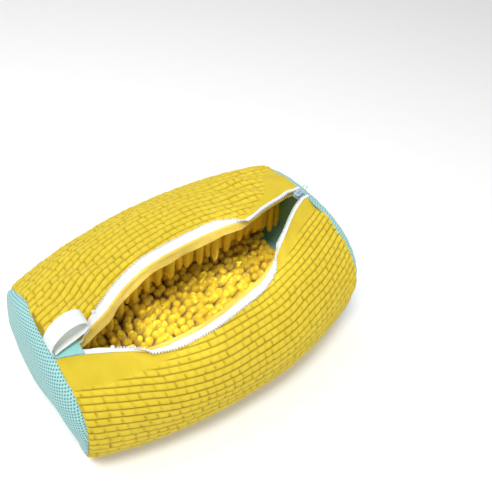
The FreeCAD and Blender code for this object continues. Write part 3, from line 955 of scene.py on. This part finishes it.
for side in ("front", "back"):
    x = np.linspace(tape_from_x, tape_to_x, tape_rows)
    sewn, across, upright, width = tape_line(side, x)
    ripple = smooth_noise(tape_rows, tape_columns, 26, 2, 51 if side == "front" else 52)
    calm = ease(x, -0.150, -0.130) * (1 - ease(x, 0.120, 0.145))
    t = np.linspace(0.0, 1.0, tape_columns)
    reach = t[None, :] * width[:, None]
    middle = sewn[:, None, :] + across[:, None, :] * reach[:, :, None]
    wave = (ripple * calm[:, None] * t[None, :] * tape_ripple)[:, :, None]
    middle = middle + upright[:, None, :] * wave
    half = upright[:, None, :] * (tape_thickness / 2)
    outer = middle + half
    inner = middle - half
    outer[:, :, 0] += middle_x
    inner[:, :, 0] += middle_x
    points, faces = strip_solid(outer, inner)
    tape = mesh_object("tape_" + side, points, faces, tape_cloth)
    u = np.repeat(x[:, None], tape_columns, axis=1)
    add_cloth_map(tape, np.stack([u, u]), np.stack([reach, reach]))
    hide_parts("zip_tape_" + side)
    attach(tape, "bag")

    tooth_points, tooth_faces = tooth_shape()
    dense = np.linspace(teeth_from_x, teeth_to_x, 1200)
    sewn, across, upright, width = tape_line(side, dense)
    edge = sewn + across * width[:, None]
    run = np.concatenate(([0.0], np.cumsum(np.linalg.norm(np.diff(edge, axis=0), axis=1))))
    offset = 0.0 if side == "front" else tooth_pitch / 2
    places = np.arange(tooth_pitch / 2 + offset, run[-1] - 0.0008, tooth_pitch)
    points = []
    faces = []
    for place in places:
        at = np.interp(place, run, dense)
        sewn, across, upright, width = tape_line(side, np.array([at - 0.0005, at, at + 0.0005]))
        ends = sewn + across * width[:, None]
        forward = ends[2] - ends[0]
        forward /= np.linalg.norm(forward)
        sideways = across[1]
        up = np.cross(forward, sideways)
        up /= np.linalg.norm(up)
        sideways = np.cross(up, forward)
        start = len(points)
        for a, b, c in tooth_points:
            points.append(ends[1] + forward * a + sideways * b + up * c)
        faces.extend([[k + start for k in face] for face in tooth_faces])
    points = np.array(points)
    points[:, 0] += middle_x
    teeth = mesh_object("teeth_" + side, points, faces, nylon, smooth=False)
    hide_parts("zip_teeth_" + side)
    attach(teeth, "bag")

    stop_x = teeth_from_x - stop_gap
    sewn, across, upright, width = tape_line(side, np.array([stop_x]))
    points = stop_corners(sewn[0], across[0], upright[0], width[0])
    points[:, 0] += middle_x
    stop = mesh_object("stop_" + side, points, block_faces, nylon)
    round_off(stop, 0.0006)
    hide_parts("top_stop_" + side)
    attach(stop, "bag")

low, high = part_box("bottom_stop")
points = [(x, y, z) for z in (low.z, high.z) for x, y in
          ((low.x, low.y), (high.x, low.y), (high.x, high.y), (low.x, high.y))]
end_stop = mesh_object("end_stop", points, block_faces, nylon)
round_off(end_stop, 0.0005)
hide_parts("bottom_stop")
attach(end_stop, "bag")


# ------------------------------------------------------------------ end panels
# Two round panels of aqua knitted mesh, sewn into the ends of the tube and bulged out a
# little, each lined with smooth teal cloth. A narrow tape binds the seam inside.
panel_bulges = {"left": 0.0215, "right": 0.0223}
panel_thickness = 0.0016
panel_rings = 70
panel_sides = 380
lining_rings = 36
lining_sides = 180
lining_gap = 0.0006
pucker_count = 38
pucker_height = 0.0005
swell_height = 0.0015
# How far the panel turns in under the cover at its seam, and where its middle stands.
seam_turn = 0.004
middle_rise = 0.006
corner_flattening = 0.85
dome_squareness = 2.2
binding_inset = 0.0090
binding_crown = 0.0005
binding_near_end = 0.0015
binding_far_end = 0.0105
# The binding stops short of the zip mouth on each side of it.
slot_gap = 0.002
slot_above_z = 0.09
binding_rows = 8
binding_sides = 260

mesh_cloth, nodes, links, shader = new_material("aqua_mesh", (0.36, 0.66, 0.66), 0.75)
shader.inputs["Specular IOR Level"].default_value = 0.3
shader.inputs["Sheen Weight"].default_value = 0.15
hole_pitch = 0.0031
mesh_turn = nodes.new("ShaderNodeMapping")
mesh_turn.inputs["Rotation"].default_value = (0, 0, math.radians(28))
links.new(cloth_place(nodes), mesh_turn.inputs["Vector"])
holes = nodes.new("ShaderNodeTexVoronoi")
holes.voronoi_dimensions = "2D"
holes.inputs["Scale"].default_value = 1 / hole_pitch
holes.inputs["Randomness"].default_value = 0.0
links.new(mesh_turn.outputs["Vector"], holes.inputs["Vector"])
from_hole = holes.outputs["Distance"]
# Painted shade: the mesh is darkened in its holes, where the cloth behind them lies in shade.
aqua_with_shaded_holes = colour_range(nodes, links, from_hole, (0.055, 0.22, 0.28), (0.36, 0.63, 0.60), 0.20, 0.36)
links.new(aqua_with_shaded_holes, shader.inputs["Base Color"])
raise_grain(nodes, links, shader, from_hole, 0.8, 0.0010)

lining_cloth, nodes, links, shader = new_material("teal_lining", (0.13, 0.32, 0.25), 0.55)
shader.inputs["Specular IOR Level"].default_value = 0.4
lining_place = piece_place(nodes)
lining_mottle = add_noise(nodes, links, lining_place, 30.0)
# Painted light: the lining's teal is brighter than the aqua mesh it backs, standing for light that reaches
# the inside of the ends.
brightened_teal = colour_range(nodes, links, lining_mottle, (0.36, 0.74, 0.64), (0.44, 0.84, 0.74))
links.new(brightened_teal, shader.inputs["Base Color"])
lining_weave = add_noise(nodes, links, lining_place, 1600.0)
raise_grain(nodes, links, shader, lining_weave, 0.2, 0.0003)

binding_cloth, nodes, links, shader = new_material("binding_tape", (0.60, 0.64, 0.60), 0.85)
binding_weave = add_noise(nodes, links, piece_place(nodes), 1200.0)
raise_grain(nodes, links, shader, binding_weave, 0.4, 0.0004)


def panel_grid(side, inset, bulge, rings, sides):
    """Bulged disc on the end of the bag: rings from the seam to the middle."""
    angle = np.linspace(0, 2 * np.pi, sides, endpoint=False)
    share = 1 - np.linspace(0, 1, rings)
    grid = np.empty((rings, sides, 3))
    end_x = side * half_length
    rim_y, rim_z = section(end_x, angle, inset)
    centre_z = float(along(heights, end_x)) * base_share + middle_rise
    for i, s in enumerate(share):
        grid[i, :, 1] = rim_y * s
        grid[i, :, 2] = centre_z + (rim_z - centre_z) * s
        slack = ease(-grid[i, :, 1], 0.0, 0.075) * (1 - ease(grid[i, :, 2], 0.030, 0.105)) * (side < 0)
        domed = bulge * math.sqrt(max(0.0, 1 - s ** dome_squareness))
        grid[i, :, 0] = end_x + side * domed * (1 - corner_flattening * slack)
    grid[0, :, 0] -= side * seam_turn
    return grid


for end, side in (("left", -1), ("right", 1)):
    bulge = panel_bulges[end]
    lining_bulge = bulge - panel_thickness - lining_gap
    for name, inset, depth, material, slot_name, rings, sides in (
            ("end_panel_", 0.0026, bulge, mesh_cloth, "mesh", panel_rings, panel_sides),
            ("end_lining_", 0.0042, lining_bulge, lining_cloth, "lining", lining_rings, lining_sides)):
        grid = panel_grid(side, inset, depth, rings, sides)
        inwards_share = np.linspace(0, 1, rings)[:, None]
        round_seam = np.linspace(0, 2 * np.pi, sides)[None, :]
        puckers = np.cos(pucker_count * round_seam) * np.exp(-inwards_share / 0.07)
        soft = smooth_noise(rings, sides, 5, 9, 61 if side < 0 else 62)
        soft = soft * np.minimum(1, inwards_share * 4) * (1 - 0.8 * inwards_share)
        grid[:, :, 0] += side * (pucker_height * puckers + swell_height * soft)
        grid = lean_end(grid)
        grid[:, :, 0] += middle_x
        points = grid.reshape(-1, 3)
        faces = grid_faces(rings, sides, close_columns=True, flip=side < 0).tolist()
        panel = mesh_object(name + end + "_cloth", points, faces, material)
        if name == "end_panel_":
            step = np.linalg.norm(np.diff(grid[::-1], axis=0), axis=2)
            reach = np.concatenate([np.zeros((1, sides)), np.cumsum(step, axis=0)])[::-1]
            spoke = grid[0, :, 1:] - grid[-1, 0, 1:]
            spoke /= np.linalg.norm(spoke, axis=1, keepdims=True)
            add_cloth_map(panel, reach * spoke[None, :, 0], reach * spoke[None, :, 1])
        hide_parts(name + end)
        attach(panel, "bag")

    x = side * (half_length - np.linspace(binding_near_end, binding_far_end, binding_rows))
    angle = np.linspace(0, 2 * np.pi, binding_sides, endpoint=False)
    outer = np.empty((binding_rows, binding_sides, 3))
    for i, station in enumerate(x):
        crown = binding_crown * math.sin(math.pi * i / (binding_rows - 1))
        y, z = section(station, angle, binding_inset + crown)
        outer[i, :, 0] = station + middle_x
        outer[i, :, 1] = y
        outer[i, :, 2] = z
    slot_x = np.array([side * 0.168])
    slot_front = lip_at("front", slot_x)[0][0] - slot_gap
    slot_back = lip_at("back", slot_x)[0][0] + slot_gap
    faces = grid_faces(binding_rows, binding_sides, close_columns=True, flip=side < 0)
    middles = outer.reshape(-1, 3)[faces].mean(axis=1)
    open_slot = (middles[:, 1] > slot_front) & (middles[:, 1] < slot_back) & (middles[:, 2] > slot_above_z)
    binding = mesh_object("binding_" + end, lean_end(outer).reshape(-1, 3), faces[~open_slot], binding_cloth)
    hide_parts("seam_binding_" + end)
    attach(binding, "bag")


# ------------------------------------------------------------------ hanging loop and tab
# A loop of white webbing caught in the left seam, and a tab of aqua cloth sewn over the
# end of the zip beneath it.
# The loop stands on the tab, a little above it. Its path is along the bag and up from its root.
loop_root_x = -0.171
loop_root_y = -0.028
tab_thickness = 0.0013
loop_lift = 0.0026
loop_root_z = float(top_z(loop_root_x, loop_root_y)) + tab_thickness + loop_lift
loop_width = 0.019
loop_thickness = 0.0014
loop_skew = 0.0035
loop_path = np.array(((-0.8, 0), (-1.7, 5), (1.5, 12.5), (9, 19.5), (19, 24), (28, 24), (35, 20.5),
                      (37.5, 15), (34, 10), (25, 6.4), (14, 4), (5, 2), (0.9, 0.2))) / 1000
loop_rows = 160
loop_columns = 16
knots = np.concatenate(([0.0], np.cumsum(np.linalg.norm(np.diff(loop_path, axis=0), axis=1))))


def smooth_path(points, knots, places):
    """Smooth curve through the points, at the places asked for."""
    slopes = np.gradient(points, knots, axis=0)
    i = np.clip(np.searchsorted(knots, places) - 1, 0, len(points) - 2)
    width = (knots[i + 1] - knots[i])[:, None]
    t = ((places - knots[i]) / (knots[i + 1] - knots[i]))[:, None]
    return (points[i] * (1 + 2 * t) * (1 - t) ** 2 + points[i + 1] * t * t * (3 - 2 * t)
            + width * (slopes[i] * t * (1 - t) ** 2 - slopes[i + 1] * t * t * (1 - t)))


places = np.linspace(0, knots[-1], loop_rows)
line = smooth_path(loop_path, knots, places)
tangent = np.gradient(line, axis=0)
tangent /= np.linalg.norm(tangent, axis=1, keepdims=True)
outward = np.stack([-tangent[:, 1], tangent[:, 0]], axis=1)
across = np.linspace(-0.5, 0.5, loop_columns)
edge_round = np.sqrt(np.maximum(0.12, 1 - np.abs(across * 2) ** 8))
skew = np.interp(places / knots[-1], [0, 0.5, 1], [0.0, loop_skew, 0.0])
layers = []
for sign in (1, -1):
    grid = np.empty((loop_rows, loop_columns, 3))
    lift = sign * loop_thickness / 2 * edge_round[None, :]
    grid[:, :, 0] = middle_x + loop_root_x + line[:, None, 0] + outward[:, None, 0] * lift
    grid[:, :, 1] = loop_root_y + across[None, :] * loop_width + skew[:, None]
    grid[:, :, 2] = loop_root_z + line[:, None, 1] + outward[:, None, 1] * lift
    layers.append(grid)
points, faces = strip_solid(layers[0], layers[1])

webbing, nodes, links, shader = new_material("white_webbing", (0.88, 0.89, 0.88), 0.8)
shader.inputs["Specular IOR Level"].default_value = 0.3
shader.inputs["Sheen Weight"].default_value = 0.2
web_place = cloth_place(nodes)
web_ribs = nodes.new("ShaderNodeTexWave")
web_ribs.bands_direction = "X"
web_ribs.inputs["Scale"].default_value = 260.0
links.new(web_place, web_ribs.inputs["Vector"])
web_lines = nodes.new("ShaderNodeTexWave")
web_lines.bands_direction = "Y"
web_lines.inputs["Scale"].default_value = 160.0
links.new(web_place, web_lines.inputs["Vector"])
web_weave = add_together(nodes, links, web_ribs.outputs["Fac"], web_lines.outputs["Fac"])
raise_grain(nodes, links, shader, web_weave, 0.4, 0.0003)
web_white = colour_range(nodes, links, web_ribs.outputs["Fac"], (0.70, 0.75, 0.73), (0.82, 0.85, 0.84))
links.new(web_white, shader.inputs["Base Color"])

loop = mesh_object("webbing_loop", points, faces, webbing)
u = np.repeat(places[:, None], loop_columns, axis=1)
v = np.repeat((across * loop_width)[None, :], loop_rows, axis=0)
add_cloth_map(loop, np.stack([u, u]), np.stack([v, v]))
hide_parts("hanging_loop")
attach(loop, "loop")

tab_cloth, nodes, links, shader = new_material("aqua_tab", (0.26, 0.58, 0.54), 0.7)
shader.inputs["Sheen Weight"].default_value = 0.15
tab_weave = add_noise(nodes, links, piece_place(nodes), 1500.0)
tab_aqua = colour_range(nodes, links, tab_weave, (0.22, 0.52, 0.50), (0.31, 0.64, 0.60))
links.new(tab_aqua, shader.inputs["Base Color"])
raise_grain(nodes, links, shader, tab_weave, 0.3, 0.0003)

tab_rows = 30
tab_columns = 20
tab_from_x = -0.1715
tab_length = 0.0245
# The tab's front and back edges across the bag, each at its left end and its right end.
tab_front = (-0.0370, -0.0475)
tab_back = (-0.0200, -0.0310)
s, t = np.meshgrid(np.linspace(0, 1, tab_rows), np.linspace(0, 1, tab_columns), indexing="ij")
x = tab_from_x + tab_length * s
front_y = tab_front[0] * (1 - s) + tab_front[1] * s
back_y = tab_back[0] * (1 - s) + tab_back[1] * s
y = front_y * (1 - t) + back_y * t
tab_puff = 0.0006
tab_top = 0.0010
tab_under = 0.0002
puff = tab_puff * np.sin(np.pi * s) * np.sin(np.pi * t)
upper = np.stack([x + middle_x, y, top_z(x, y) + tab_top + puff], axis=2)
lower = np.stack([x + middle_x, y, top_z(x, y) + tab_under], axis=2)
points, faces = strip_solid(upper, lower)
tab = mesh_object("zip_tab", points, faces, tab_cloth)
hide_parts("zip_end_tab")
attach(tab, "bag")


# ------------------------------------------------------------------ slider and pull
# A cast slider with a pale blue-grey lacquer, and a small wire pull hung under its arch.
lacquer, nodes, links, shader = new_material("blue_grey_lacquer", (0.36, 0.47, 0.55), 0.32)
shader.inputs["Metallic"].default_value = 0.35
shader.inputs["Coat Weight"].default_value = 0.3
lacquer_mottle = add_noise(nodes, links, piece_place(nodes), 500.0)
blue_grey = colour_range(nodes, links, lacquer_mottle, (0.38, 0.54, 0.64), (0.56, 0.70, 0.78))
links.new(blue_grey, shader.inputs["Base Color"])
for name in ("slider_body", "slider_pull"):
    node_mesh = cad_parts[name].data
    node_mesh.materials.clear()
    node_mesh.materials.append(lacquer)
